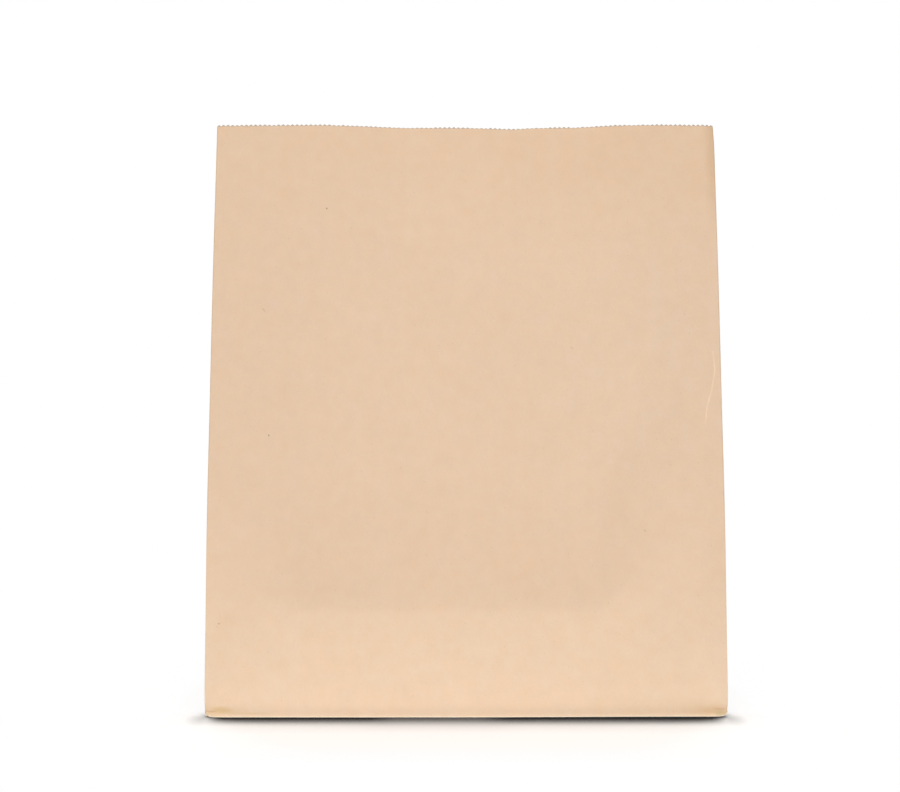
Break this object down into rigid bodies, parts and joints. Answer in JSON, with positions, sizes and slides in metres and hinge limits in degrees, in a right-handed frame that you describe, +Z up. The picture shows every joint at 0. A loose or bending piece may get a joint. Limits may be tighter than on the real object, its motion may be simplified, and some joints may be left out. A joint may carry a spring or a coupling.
{
  "type": "paper bag",
  "caption": "Brown kraft paper bag with side gussets, a folded block bottom and a toothed mouth, standing a little open.",
  "frame": {"origin": "centre of the bottom, on the surface the bag stands on", "axes": "+Z up, the front face towards -Y, +X to the right seen from the front"},
  "size_m": [0.32, 0.1302, 0.3714],
  "materials": {
    "kraft_paper": "matt unbleached kraft paper"
  },
  "bodies": {
    "root": {"bag": "kraft_paper"}
  },
  "joints": []
}
